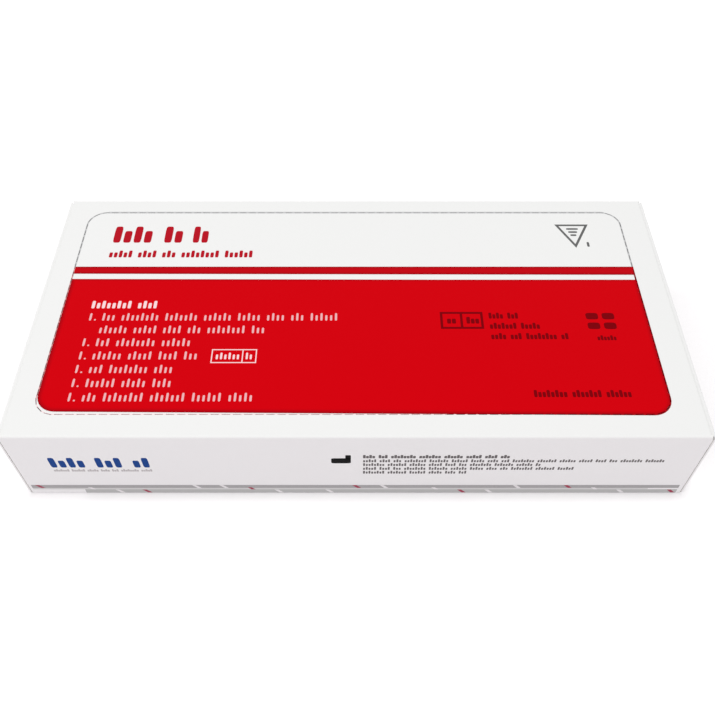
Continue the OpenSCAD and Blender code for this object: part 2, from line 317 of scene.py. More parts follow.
class Finish(Nodes):
    """A material under construction: a node tree with one Principled shader."""

    def __init__(self, name, **constants):
        self.material = bpy.data.materials.new(name)
        super().__init__(self.material)
        values = {socket.replace("_", " "): value for socket, value in constants.items()}
        self.shader = self.node("ShaderNodeBsdfPrincipled", {}, values)
        self.node("ShaderNodeOutputMaterial", {}, {"Surface": self.shader})

    def set(self, socket, value):
        """Links or sets one socket of the Principled shader."""
        self.fill(self.shader.socket.node.inputs[socket], value)

    def grain(self, vector, size, detail=3.0, roughness=0.6):
        """Noise from 0 to 1 with features of the given size."""
        inputs = {"Vector": vector, "Scale": 1.0 / size, "Detail": detail, "Roughness": roughness}
        return self.node("ShaderNodeTexNoise", {}, inputs, "Fac")

    def bump(self, height, distance, strength):
        """Small relief on the surface."""
        inputs = {"Height": height, "Distance": distance, "Strength": strength}
        self.set("Normal", self.node("ShaderNodeBump", {}, inputs))


def shade(color, factor):
    """A linear colour made darker or lighter by a factor."""
    return tuple(min(1.0, part * factor) for part in color)


def rounded_box(u, v, half_u, half_v, radius):
    """Distance to a rounded box about the origin, negative inside: with a = |u| - half_u + radius and b
    likewise, it is hypot(max(a, 0), max(b, 0)) + min(max(a, b), 0) - radius."""
    a = abs(u) - (half_u - radius)
    b = abs(v) - (half_v - radius)
    corner = (a.greatest(0) ** 2 + b.greatest(0) ** 2) ** 0.5
    return corner + a.greatest(b).least(0) - radius


def board_finish(name, board, outside, marks=()):
    """White coated board outside, uncoated board inside; outside(x, y, z) gives the mask between them. Each
    mark is a function of x, y and z that gives a mask, with the colour that it brings."""
    cloud_size, relief, reverse_roughness = 14 * MM, 0.012 * MM, 0.82
    finish = Finish(name, Specular_IOR_Level=0.25)
    vector, (x, y, z) = finish.place()
    cloud = finish.grain(vector, cloud_size, 2.0)
    fibres = finish.grain(vector, board.fibre, 4.0, 0.7)
    mask = outside(x, y, z)
    uneven = cloud * 0.6 + fibres * 0.4
    coated = finish.tint(uneven, shade(board.coated, 1 - board.mottle), board.coated)
    for mark, color in marks:
        coated = finish.tint(mark(x, y, z), coated, color)
    dark, light = shade(board.reverse, 0.94), shade(board.reverse, 1.03)
    reverse = finish.tint(fibres * 1.6 - 0.3, dark, light)
    finish.set("Base Color", finish.tint(mask, reverse, coated))
    smoother = mask * (reverse_roughness - board.gloss)
    finish.set("Roughness", reverse_roughness - smoother + fibres * 0.06)
    finish.bump(fibres * (1.3 - mask), relief, 0.5)
    return finish.material


def outside_of_sleeve(x, y, z):
    """1 where a point of the folded sheet lies on its outer side: in the walls by the distance to a box
    with rounded edges, and on the dust flaps by their distance from the carton's middle."""
    half_z = TOP_Z / 2
    distance = rounded_box(y, z - half_z, SIDE_Y, half_z, FOLD_R)
    return (distance > -COAT_DEPTH).greatest(abs(x) > SHEET_HIGH.x - COAT_DEPTH)


def outside_of_flap(x, y, z):
    """1 on the outer half of a tuck flap: its end panel by x, its bent lip by the distance to the hinge."""
    lip_r = TOP_Z - BOARD_T - LIP_GAP
    reach = ((END_X - abs(x)) ** 2 + z ** 2) ** 0.5
    return (abs(x) > END_X - COAT_DEPTH).greatest(reach > lip_r - COAT_DEPTH)


def perforation_path(x, y):
    """Distance to the line of the perforation, negative inside it."""
    left, right, front, back = TEAR
    return rounded_box(
        x - (left + right) / 2, y - (front + back) / 2, (right - left) / 2, (back - front) / 2, TEAR_R
    )


def field_edge(x, y):
    """Distance to the red field's outline, negative inside it. Its front edge runs askew, so y is first
    moved by the edge's slope; the box reaches far back, because the field's back corners are square."""
    left, right = INK_LOW.x, INK_HIGH.x
    half_y = 60 * MM
    level_y = y + (x - left) * (FIELD_DROP / (right - left))
    front = INK_LOW.y + FIELD_DROP
    return rounded_box(x - (left + right) / 2, level_y - front - half_y, (right - left) / 2, half_y, FIELD_R)


def askew(x, run):
    """How far an edge runs over at x, when it does so by run[0] at the field's left end and by run[1] at
    its right end."""
    left, right = INK_LOW.x, INK_HIGH.x
    return (x - left) * ((run[1] - run[0]) / (right - left)) + run[0]


def sleeve_marks(board, ink):
    """Painted shade along the perforation: a grey line behind the stripe, narrower at each end. Painted dark
    red shade on the walls of the cuts through the field, a pink tint on the walls of those close beside it
    and a paler pink tint on those in front of it."""
    # Half widths of the bands that take in the walls of a cut, beside the ink and in it
    beside, within = 0.15 * MM, 0.3 * MM
    front_strip = INK_LOW.y + 5 * MM
    cut_floor, line_floor = TOP_Z - 1.1 * BOARD_T, TOP_Z - BOARD_T / 2

    def cuts(x, y, z, reach):
        near = abs(perforation_path(x, y)) < reach
        return near * (y < INK_HIGH.y) * (z > cut_floor)

    def line(x, y, z, width, shift=0.0):
        near = abs(perforation_path(x, y) - shift) < width / 2
        return near * (y > INK_HIGH.y) * (z > line_floor)

    # Painted shade of the perforation, as grey lines on the board behind the stripe
    def guide(x, y, z):
        return line(x, y, z, board.perforation_shade_width, board.perforation_shade_shift) * (abs(x) < PERFORATION_SHADE_END)

    def side_perforation_shade(x, y, z):
        return line(x, y, z, board.side_perforation_shade_width) * (abs(x) > PERFORATION_SHADE_END)

    def side_cuts(x, y, z):
        return cuts(x, y, z, beside)

    def front_cuts(x, y, z):
        return cuts(x, y, z, beside) * (y < front_strip)

    # Painted shade: dark red on the walls of the cuts through the field
    def field_cut_shade(x, y, z):
        return cuts(x, y, z, within) * (field_edge(x, y) < 0)

    return (
        (guide, board.guide), (side_perforation_shade, board.side_perforation_shade), (side_cuts, ink.cut_side),
        (front_cuts, ink.cut_pale), (field_cut_shade, ink.cut),
    )


def ink_finish(name, color, marks=()):
    """Printed ink: an even colour with slight mottling and a varnish over the board's fine grain. Each
    mark is a function of x and y that gives a mask, with the colour that it brings."""
    roughness, darkest = 0.38, 0.97
    finish = Finish(name, Specular_IOR_Level=0.02)
    vector, (x, y, z) = finish.place()
    cloud = finish.grain(vector, 9 * MM)
    fibres = finish.grain(vector, 0.4 * MM)
    uneven = cloud * 0.7 + fibres * 0.3
    tone = finish.tint(uneven, shade(color, darkest), color)
    for mark, second in marks:
        tone = finish.tint(mark(x, y), tone, finish.tint(uneven, shade(second, darkest), second))
    finish.set("Base Color", tone)
    finish.set("Roughness", fibres * 0.08 + roughness)
    finish.bump(fibres, 0.006 * MM, 0.4)
    return finish.material


def dress(node, material):
    """Gives a node of the frame its finish."""
    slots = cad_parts[node].data.materials
    slots.clear()
    slots.append(material)


def on_top(height):
    """Places marks on the top panel: along x and y, raised from the given height."""
    return lambda u, v, w: np.stack([u, v, height + w], axis=-1)


def on_front(u, v, w):
    """Places marks on the front wall: along x and z, raised towards the viewer."""
    return np.stack([u, -SIDE_Y - w, v], axis=-1)


def add_piece(name, points, faces, material, slot, body="carton", smooth=False):
    """Makes a mesh of the points and faces, gives it its finish and lets it ride on a body."""
    mesh = bpy.data.meshes.new(name)
    mesh.from_pydata(points.reshape(-1, 3).tolist(), [], faces)
    mesh.materials.append(material)
    mesh.polygons.foreach_set("use_smooth", np.full(len(mesh.polygons), smooth))
    mesh.update()
    piece = bpy.data.objects.new(name, mesh)
    bpy.context.scene.collection.objects.link(piece)
    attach(piece, body)
    return piece


def slabs(u, v, film, place):
    """Thin closed slabs: each row of u and v is an outline, drawn at the surface and again one film higher,
    with a wall between the two outlines and a face on each end."""
    count, corners = u.shape
    levels = np.array([0.0, film]).reshape(1, 2, 1) * np.ones((count, 1, corners))
    points = place(np.repeat(u[:, None], 2, axis=1), np.repeat(v[:, None], 2, axis=1), levels)
    low = np.arange(count)[:, None] * 2 * corners + np.arange(corners)
    high = low + corners
    after = np.roll(np.arange(corners), -1)
    walls = np.stack([low, low[:, after], high[:, after], high], axis=-1).reshape(-1, 4)
    faces = walls.tolist() + high.tolist() + low[:, ::-1].tolist()
    return points, faces


def rims(outer, inner, film, place):
    """A flat closed rim between two outlines with as many corners, one film high: the walls follow both
    outlines, and strips join them below and above."""
    corners = len(outer)
    flat = np.stack([outer, inner, inner, outer])
    levels = np.array([0.0, 0.0, film, film])[:, None] * np.ones((1, corners))
    points = place(flat[..., 0], flat[..., 1], levels)
    rings = np.arange(4 * corners).reshape(4, corners)
    after = np.roll(rings, -1, axis=1)
    next_ring = np.roll(rings, -1, axis=0)
    next_after = np.roll(after, -1, axis=0)
    faces = np.stack([rings, next_ring, next_after, after], axis=-1).reshape(-1, 4)
    return points, faces.tolist()


def merged(parts):
    """Joins several sets of points and faces into one."""
    points, faces, offset = [], [], 0
    for part_points, part_faces in parts:
        flat = part_points.reshape(-1, 3)
        points.append(flat)
        faces += [[corner + offset for corner in face] for face in part_faces]
        offset += len(flat)
    return np.concatenate(points), faces


def pills(center_u, center_v, half_u, half_v, power=5.0, corners=16):
    """Outlines of rounded blocks: superellipses, whose radius follows cos and sin raised to 2 / power. Each
    of the first four values is an array, or one number for all blocks."""
    turn = (np.arange(corners) + 0.5) * 2 * math.pi / corners
    across = np.sign(np.cos(turn)) * np.abs(np.cos(turn)) ** (2 / power)
    along = np.sign(np.sin(turn)) * np.abs(np.sin(turn)) ** (2 / power)
    center_u, center_v, half_u, half_v = np.broadcast_arrays(center_u, center_v, half_u, half_v)
    return center_u[:, None] + half_u[:, None] * across, center_v[:, None] + half_v[:, None] * along


def block_row(left, right, base, cap, seed, weight, pitch_share=0.5):
    """A row of plain upright blocks in groups. Block k stands k pitches from the left, and a block is as
    wide as the pitch times the weight; groups of 3 to 8 blocks follow from the seed by remainders, and so
    do the blocks as tall as the cap. The pitch is about the cap times pitch_share."""
    short = 0.72
    count = max(1, int(round((right - left) / (cap * pitch_share))))
    pitch = (right - left) / count
    groups = 3 + (5 * np.arange(count + 1) + seed) % 6
    spaces = np.cumsum(groups + 1) - 1
    order = np.arange(count)
    kept = order[~np.isin(order, spaces)]
    if len(kept) > 2 and kept[-1] - kept[-2] > 1:
        kept = kept[:-1]
    tall = (kept * 7 + seed) % 5 < 2
    height = np.where(tall, cap, cap * short)
    return left + (kept + 0.5) * pitch, base + height / 2, pitch * weight / 2, height / 2


def rows_piece(name, left, rows, cap, weight, film, place, material, slot):
    """One piece out of several rows of blocks. Each row gives its start and end from the left and its base,
    all in millimetres, and its seed."""
    parts = []
    for start, end, base, seed in rows:
        row = block_row(left + start * MM, left + end * MM, base * MM, cap, seed, weight)
        parts.append(slabs(*pills(*row), film, place))
    return add_piece(name, *merged(parts), material, slot)


def rectangle(u0, v0, u1, v1):
    return np.array([[u0, v0], [u1, v0], [u1, v1], [u0, v1]])


def divided_box(corner, size, stroke, split, rows, base, cap, weight, film, place):
    """An outlined box with an upright bar at split from its left side, and a row of blocks on each side of
    the bar. Each row gives its start and end from the box's left side, in millimetres, and its seed."""
    x0, y0 = corner
    x1, y1 = x0 + size[0], y0 + size[1]
    outer = rectangle(x0, y0, x1, y1)
    inner = rectangle(x0 + stroke, y0 + stroke, x1 - stroke, y1 - stroke)
    bar = rectangle(x0 + split - stroke / 2, y0 + stroke, x0 + split + stroke / 2, y1 - stroke)
    parts = [rims(outer, inner, film, place), slabs(bar[None, :, 0], bar[None, :, 1], film, place)]
    for start, end, seed in rows:
        row = block_row(x0 + start * MM, x0 + end * MM, y0 + base, cap, seed, weight)
        parts.append(slabs(*pills(*row), film, place))
    return merged(parts)


class CARTON_OT_board(bpy.types.Operator):
    """Give the folded sheet and both tuck flaps their coated board"""

    bl_idname = "carton.board"
    bl_label = "Board"

    def execute(self, context):
        board = context.scene.carton_board
        marks = sleeve_marks(board, context.scene.carton_ink)
        dress("carton", board_finish("coated board", board, outside_of_sleeve, marks))
        flap = board_finish("coated board of the flaps", board, outside_of_flap)
        for node in ("left_tuck_flap", "right_tuck_flap"):
            dress(node, flap)
        return {"FINISHED"}


class CARTON_OT_field(bpy.types.Operator):
    """Give the field and the stripe their red ink, and let it run over their edges a little askew"""

    bl_idname = "carton.field"
    bl_label = "Red field and stripe"

    def execute(self, context):
        ink = context.scene.carton_ink
        # Width of the field's rim and of the stripe's, how far the field's rim stands back from its edge at
        # the stripe, and how quickly a rim fades
        width, stripe_width, back_shift, fade = ink.rim_width, ink.rim_width * 0.7, 0.4 * MM, 1.6

        def stripe(x, y):
            return y > STRIPE_Y - LINE_W / 2

        def darker(distance, reach):
            return ((distance + reach) / reach).clamped() ** fade

        def field_rim(x, y):
            back = y - FIELD_Y - askew(x, FIELD_RUN).greatest(0) - back_shift
            return darker(field_edge(x, y).greatest(back), width) * (1 - stripe(x, y))

        def stripe_rim(x, y):
            front = STRIPE_Y - askew(x, STRIPE_RUN) - y
            return darker(front.greatest(y - INK_HIGH.y), stripe_width) * stripe(x, y)

        marks = (stripe, ink.stripe), (field_rim, ink.rim), (stripe_rim, ink.rim)
        red = ink_finish("red ink", ink.red, marks)
        dress("red_print", red)
        # The wedges stop short of the print's right end, and the thin end of the field's is blunt
        short, blunt = 0.38 * MM, 0.02 * MM
        left, right = INK_LOW.x, INK_HIGH.x - short
        field_end = left + (right - left) * FIELD_RUN[0] / (FIELD_RUN[0] - FIELD_RUN[1])
        u = np.array([[left, right, right, left], [left, field_end, field_end, left]])
        runs = np.array([[-STRIPE_RUN[0], -STRIPE_RUN[1], 0.0, 0.0], [0.0, 0.0, blunt, FIELD_RUN[0]]])
        v = np.array([[STRIPE_Y], [FIELD_Y]]) + runs
        add_piece("print_edges", *slabs(u, v, INK_Z - TOP_Z, on_top(TOP_Z)), red, "red_ink")
        return {"FINISHED"}


class CARTON_OT_title(bpy.types.Operator):
    """Print the large marks, the row under them and the triangle on the white board behind the stripe"""

    bl_idname = "carton.title"
    bl_label = "Large marks and triangle"

    def execute(self, context):
        ink, layout = context.scene.carton_ink, context.scene.carton_layout
        place = on_top(TOP_Z)
        red = ink_finish("title ink", ink.title)
        left, base, weight = INK_LOW.x + 9.45 * MM, 27.7 * MM, 0.74
        parts = []
        # Start and end in millimetres, seed, and pitch as a share of the height
        for start, end, seed, pitch_share in ((0.0, 23.9, 1, 0.46), (26.7, 32.5, 0, 0.4)):
            row = block_row(
                left + start * MM, left + end * MM, base, layout.title_cap, seed, weight, pitch_share
            )
            parts.append(slabs(*pills(*row, 5.0, 24), ink.film, place))
        add_piece("title_marks", *merged(parts), red, "red_ink")
        rows_piece(
            "subtitle_marks", left, [(0.2, 47.8, 20.8, 2)], 3.2 * MM, 0.7, ink.film, place, red, "red_ink"
        )
        triangle = self.triangle(ink.film, place)
        add_piece("triangle_symbol", *triangle, ink_finish("symbol ink", ink.symbol), "board")
        return {"FINISHED"}

    def triangle(self, film, place):
        """An outlined triangle that stands on its tip, with bars inside and a small mark beside it. Its
        slanted sides are as wide as its top, so the inner tip lies higher by the stroke times the length
        of a slanted side over half its width."""
        middle_x, top_y, tip_y = 73.0 * MM, 36.5 * MM, 25.3 * MM
        half, stroke = 5.7 * MM, 0.8 * MM
        slope = half / (top_y - tip_y)
        inner_top = top_y - stroke
        inner_tip = tip_y + stroke * math.hypot(1, slope) / slope
        inner_half = (inner_top - inner_tip) * slope
        outer, inner = (
            np.array([[middle_x - reach, high], [middle_x, low], [middle_x + reach, high]])
            for reach, high, low in ((half, top_y, tip_y), (inner_half, inner_top, inner_tip))
        )
        # Middle, half width and half height of each bar, in millimetres
        bars = np.array([
            [73.0, 34.3, 2.0, 0.4], [73.0, 32.8, 1.5, 0.4], [73.0, 31.3, 1.0, 0.4], [77.2, 26.9, 0.4, 1.1]
        ]) * MM
        return merged([rims(outer, inner, film, place), slabs(*pills(*bars.T), film, place)])


class CARTON_OT_rows(bpy.types.Operator):
    """Knock one heavy row and the seven lighter rows below it out of the red field"""

    bl_idname = "carton.rows"
    bl_label = "Rows on the field"

    def execute(self, context):
        ink, layout = context.scene.carton_ink, context.scene.carton_layout
        place = on_top(INK_Z)
        left = INK_LOW.x + layout.row_left
        cap, pitch, film = layout.row_cap, layout.row_pitch, ink.film
        heading = ink_finish("heading paper", ink.heading)
        paper = ink_finish("knocked out paper", ink.knockout)
        rows_piece(
            "heading_marks", left, [(0.1, 21.0, -1.5, 11)], 3.1 * MM, 0.62, film, place, heading, "board"
        )
        # Base of the first row, and where each row ends in millimetres
        first = -6.5 * MM
        ends = (77.5, 55.3, 33.3, 39.0, 29.3, 29.6, 55.1)
        rows = [
            (layout.row_indent / MM, end, (first - row * pitch) / MM, 3 * row)
            for row, end in enumerate(ends)
        ]
        rows_piece("list_marks", left, rows, cap, 0.46, film, place, paper, "board")
        # All rows but the second begin with an upright block and a dot
        base = first - np.array([0, 2, 3, 4, 5, 6]) * pitch
        blocks = pills(left + 1.0 * MM, base + cap / 2, 0.34 * MM, cap / 2, 4.0)
        dots = pills(left + 2.5 * MM, base + 0.3 * MM, 0.28 * MM, 0.28 * MM, 3.0)
        bullets = merged([slabs(*blocks, film, place), slabs(*dots, film, place)])
        add_piece("list_bullets", *bullets, paper, "board")
        corner = (left + 39.9 * MM, first - 3 * pitch - 1.35 * MM)
        box = divided_box(
            corner, (13.5 * MM, 5.2 * MM), 0.34 * MM, 9.3 * MM, ((1.1, 8.6, 4), (10.0, 12.4, 1)),
            1.4 * MM, 2.5 * MM, 0.52, film, place,
        )
        add_piece("boxed_mark", *box, heading, "board")
        return {"FINISHED"}


class CARTON_OT_overprint(bpy.types.Operator):
    """Print the dark marks over the right half of the red field"""

    bl_idname = "carton.overprint"
    bl_label = "Dark marks on the field"

    def execute(self, context):
        ink = context.scene.carton_ink
        place = on_top(INK_Z)
        dark = ink_finish("dark overprint", ink.overprint)
        box = divided_box(
            (25.9 * MM, -9.8 * MM), (13.2 * MM, 6.8 * MM), 0.75 * MM, 6.5 * MM,
            ((1.9, 4.9, 2), (7.9, 12.0, 0)), 2.1 * MM, 2.7 * MM, 0.8, ink.film, place,
        )
        add_piece("divided_box", *box, dark, "red_ink")
        # Rows, with their tall height in millimetres
        for name, rows, cap in (
            ("side_lines", [(40.8, 52.4, -5.7, 1), (40.8, 56.3, -9.8, 4), (40.8, 64.4, -13.9, 7)], 2.4),
            ("foot_marks", [(50.9, 80.3, -35.3, 5)], 2.5),
            ("small_marks", [(72.9, 78.8, -14.3, 3)], 1.9),
        ):
            rows_piece(name, 0.0, rows, cap * MM, 0.76, ink.film, place, dark, "red_ink")
        x, y = np.array([[72.8, 77.8, 72.8, 77.8], [-4.7, -4.7, -8.6, -8.6]]) * MM
        blocks = pills(x, y, 1.9 * MM, 1.3 * MM, 4.0, 24)
        add_piece("four_blocks", *slabs(*blocks, ink.film, place), dark, "red_ink")
        return {"FINISHED"}


class CARTON_OT_front(bpy.types.Operator):
    """Print the blue marks, the black block and the small lines on the front wall"""

    bl_idname = "carton.front"
    bl_label = "Front wall print"

    def execute(self, context):
        ink = context.scene.carton_ink

        def rows(name, places, cap, weight, finish):
            rows_piece(name, 0.0, places, cap * MM, weight, ink.film, on_front, finish, "board")

        rows("blue_marks", [(-89.2, -59.6, 15.6, 1)], 5.4, 0.7, ink_finish("blue ink", ink.blue))
        rows("blue_underline", [(-88.7, -59.8, 13.3, 4)], 1.3, 0.85, ink_finish("pale ink", ink.pale))
        # Middle, half width and half height of the two blocks that make the black one, in millimetres
        black = np.array([[-4.35, 19.4, 2.85, 1.4], [-2.3, 21.4, 0.8, 1.1]]) * MM
        blocks = slabs(*pills(*black.T, 7.0), ink.film, on_front)
        add_piece("black_block", *blocks, ink_finish("black ink", ink.black), "board")
        small = ink_finish("small print ink", ink.small)
        rows("small_print_bold", [(1.9, 45.8, 20.8, 1)], 1.8, 0.86, small)
        lower = [(1.9, 90.5, 18.6, 2), (1.9, 53.6, 16.5, 5), (1.9, 64.4, 14.3, 8), (1.9, 34.1, 12.1, 11)]
        rows("small_print", lower, 1.6, 0.7, small)
        return {"FINISHED"}


def wall_strip(low, high, x0, x1, film):
    """A strip along the foot of the front wall, between two heights. Its section follows the wall, and
    below the fold's radius the fold's arc: y = -(side - r) - r cos a and z = r - r sin a."""
    steps = 12
    heights = np.linspace(low, high, steps)
    sine = np.clip((FOLD_R - heights) / FOLD_R, 0.0, 1.0)
    cosine = np.sqrt(1 - sine ** 2)
    levels = np.array([0.0, film])[:, None]
    reach = FOLD_R + levels
    y = -(SIDE_Y - FOLD_R) - reach * cosine
    z = np.where(heights < FOLD_R, FOLD_R - reach * sine, heights)
    section = np.concatenate([
        np.stack([y[1], z[1]], axis=-1), np.stack([y[0], z[0]], axis=-1)[::-1]
    ])
    corners = len(section)
    x = np.array([x0, x1])[:, None] * np.ones((1, corners))
    yz = np.broadcast_to(section, (2, corners, 2))
    points = np.concatenate([x[..., None], yz], axis=-1)
    near, far = np.arange(corners), np.arange(corners) + corners
    after = np.roll(np.arange(corners), -1)
    walls = np.stack([near, near[after], far[after], far], axis=-1)
    return points, walls.tolist() + [near[::-1].tolist(), far.tolist()]


class CARTON_OT_foot(bpy.types.Operator):
    """Print the grey lines and their slanted ticks along the foot of the front wall"""

    bl_idname = "carton.foot"
    bl_label = "Lines at the foot"

    def execute(self, context):
        ink, layout = context.scene.carton_ink, context.scene.carton_layout
        left, right = -98.2 * MM, 97.7 * MM
        lower_left, middle_right, lowest = -82.5 * MM, 88.6 * MM, 0.25 * MM
        for name, low, high, x0, x1, color in (
            ("foot_line_upper", layout.foot_mid, layout.foot_upper, left, right, ink.foot_dark),
            ("foot_line_middle", layout.foot_lower, layout.foot_mid, left, middle_right, ink.foot_mid),
            ("foot_line_lower", lowest, layout.foot_lower, lower_left, right, ink.foot_light),
        ):
            strip = wall_strip(low, high, x0, x1, ink.film)
            add_piece(name, *strip, ink_finish(name + " ink", color), "board")
        # Ticks a pitch apart, each shifted by up to 0.3 of a pitch, as the remainders of its number say
        order = np.arange(int((right - left) / layout.tick_pitch))
        shift = (order * 5 % 7 - 3) / 7 * layout.tick_pitch * 0.7
        center = left + (order + 0.55) * layout.tick_pitch + shift
        band = order * 2 % 5
        low = np.choose(band, [layout.foot_mid, FOLD_R, layout.foot_lower, layout.foot_mid, FOLD_R])
        high = low + np.where(band == 2, 1.2, 1.75) * MM
        lean, half = (high - low) * 0.45, 0.6 * MM
        u = center[:, None] + np.stack([lean - half, lean + half, half - lean, -half - lean], axis=1)
        v = np.stack([low, low, high, high], axis=1)
        every_third = order % 3 == 0
        for name, color, chosen in (
            ("foot_ticks_red", ink.tick_red, every_third), ("foot_ticks_white", ink.tick_white, ~every_third)
        ):
            ticks = slabs(u[chosen], v[chosen], ink.film / 2, lambda a, b, w: on_front(a, b, w + ink.film))
            add_piece(name, *ticks, ink_finish(name + " ink", color), "board")
        return {"FINISHED"}


class CARTON_OT_leaflet(bpy.types.Operator):
    """Give the leaflet its paper with faint printed lines"""

    bl_idname = "carton.leaflet"
    bl_label = "Leaflet"

    def execute(self, context):
        contents = context.scene.carton_contents
        low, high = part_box("leaflet")
        line_pitch, line_height, side_margin, margin = 2.6 * MM, 1.1 * MM, 8 * MM, 6 * MM
        finish = Finish("leaflet paper", Specular_IOR_Level=0.2)
        vector, (x, y, z) = finish.place()
        fibres = finish.grain(vector, 0.6 * MM, 4.0, 0.7)
        gaps = finish.grain(vector, 2.5 * MM, 2.0)
        line = (y % line_pitch) < line_height
        printed = (abs(x) < high.x - side_margin) * (y > low.y + margin) * (y < high.y - margin)
        paper = finish.tint(fibres, shade(contents.leaflet, 0.96), contents.leaflet)
        ink = line * printed * (gaps > 0.45) * 0.55
        finish.set("Base Color", finish.tint(ink, paper, contents.leaflet_ink))
        finish.set("Roughness", fibres * 0.1 + 0.75)
        finish.bump(fibres, 0.02 * MM, 0.5)
        dress("leaflet", finish.material)
        return {"FINISHED"}


def pouch_surface(low, high, seal, ramp_length, rise, crinkle, steps):
    """A sealed pouch from above and below. With u and v from -1 to 1 across it, the top stands at the seal's
    height plus rise * f(u) * f(v), where f climbs smoothly from 0 at the seal's inner edge to 1 over the
    piece inside; creases are sines that cross each other and fade at the seal. The bottom is flat."""
    seal_height, smooth_creases = 0.3 * MM, 0.25
    u = np.linspace(-1, 1, steps[0])
    v = np.linspace(-1, 1, steps[1])
    size = np.array([high.x - low.x, high.y - low.y])
    centre = np.array([high.x + low.x, high.y + low.y]) / 2

    def climb(t, length):
        inner = (1 - np.abs(t)) * length / 2 - seal
        ramp = np.clip(inner / ramp_length, 0, 1)
        return ramp * ramp * (3 - 2 * ramp)

    profile = climb(u, size[0])[:, None] * climb(v, size[1])[None, :]
    x = centre[0] + u[:, None] * size[0] / 2 + 0 * v[None, :]
    y = centre[1] + v[None, :] * size[1] / 2 + 0 * u[:, None]
    # Three sines, the first bent by a fourth, with their turns in radians per metre; 2.6 is their sum
    wave = (
        np.sin(x * 410 + 2.1 * np.sin(y * 260)) + np.sin(y * 530 - x * 190 + 1.7)
        + 0.6 * np.sin(x * 900 + y * 760)
    ) / 2.6
    slope = 4 * profile * (1 - profile) + smooth_creases * profile
    top = low.z + seal_height + rise * profile + crinkle * wave * slope
    bottom = np.full_like(top, low.z)
    points = np.stack([np.stack([x, y, top], -1), np.stack([x, y, bottom], -1)])
    grid = np.arange(points[0, ..., 0].size).reshape(steps)
    quads = np.stack([grid[:-1, :-1], grid[1:, :-1], grid[1:, 1:], grid[:-1, 1:]], -1).reshape(-1, 4)
    under = quads[:, ::-1] + grid.size
    rim = np.concatenate([grid[:-1, 0], grid[-1, :-1], grid[:0:-1, -1], grid[0, :0:-1]])
    after = np.roll(rim, -1)
    walls = np.stack([rim, rim + grid.size, after + grid.size, after], -1)
    return points, np.concatenate([quads, under, walls]).tolist()


class CARTON_OT_pouches(bpy.types.Operator):
    """Model the foil pouch and the swab's wrapper in place of their plain solids"""

    bl_idname = "carton.pouches"
    bl_label = "Foil pouch and swab wrapper"

    def execute(self, context):
        contents = context.scene.carton_contents
        # Headroom left for the seal's height and the creases, the seal's width and the climb's length
        low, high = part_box("foil_pouch")
        headroom, seal, climb = 0.6 * MM, 7 * MM, 8 * MM
        rise = high.z - low.z - headroom
        skin = pouch_surface(low, high, seal, climb, rise, contents.crinkle, (150, 80))
        foil = self.foil(contents, low, high)
        piece = add_piece("foil_pouch_skin", *skin, foil, "foil", smooth=True)
        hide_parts("foil_pouch")
        low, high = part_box("swab_wrapper")
        headroom, seal, climb, crinkle = 0.4 * MM, 6.5 * MM, 3 * MM, 0.1 * MM
        rise = high.z - low.z - headroom
        skin = pouch_surface(low, high, seal, climb, rise, crinkle, (200, 40))
        paper = self.paper(contents, high)
        wrapper = add_piece("swab_wrapper_skin", *skin, paper, "wrapper_paper", smooth=True)
        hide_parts("swab_wrapper")
        return {"FINISHED"}

    def foil(self, contents, low, high):
        """Foil with slanted knurling on the seal that runs round it."""
        seal, knurl_pitch, knurl_width = 6 * MM, 1.2 * MM, 0.5 * MM
        foil = Finish("pouch foil", Metallic=0.85, Specular_IOR_Level=0.5)
        vector, (x, y, z) = foil.place()
        cloud = foil.grain(vector, 6 * MM, 4.0)
        edge = (x - low.x).least(high.x - x).least((y - low.y).least(high.y - y))
        knurl = ((x + y) % knurl_pitch < knurl_width) * (edge < seal)
        foil.set("Base Color", foil.tint(cloud, shade(contents.foil, 0.86), contents.foil))
        foil.set("Roughness", cloud * 0.2 + 0.26 + knurl * 0.1)
        foil.bump(cloud + knurl * 0.3, 0.12 * MM, 0.6)
        return foil.material

    def paper(self, contents, high):
        """Paper with pressed bars across the seal at each end."""
        seal, bar_pitch, bar_width = 9 * MM, 2 * MM, 0.8 * MM
        paper = Finish("wrapper paper", Specular_IOR_Level=0.2)
        vector, (x, y, z) = paper.place()
        fibres = paper.grain(vector, 0.5 * MM, 4.0, 0.7)
        bars = (abs(x) > high.x - seal) * ((x % bar_pitch) < bar_width)
        paper.set("Base Color", paper.tint(fibres, shade(contents.paper, 0.95), contents.paper))
        paper.set("Roughness", fibres * 0.1 + 0.6)
        paper.bump(fibres * 0.4 + bars, 0.06 * MM, 0.6)
        return paper.material


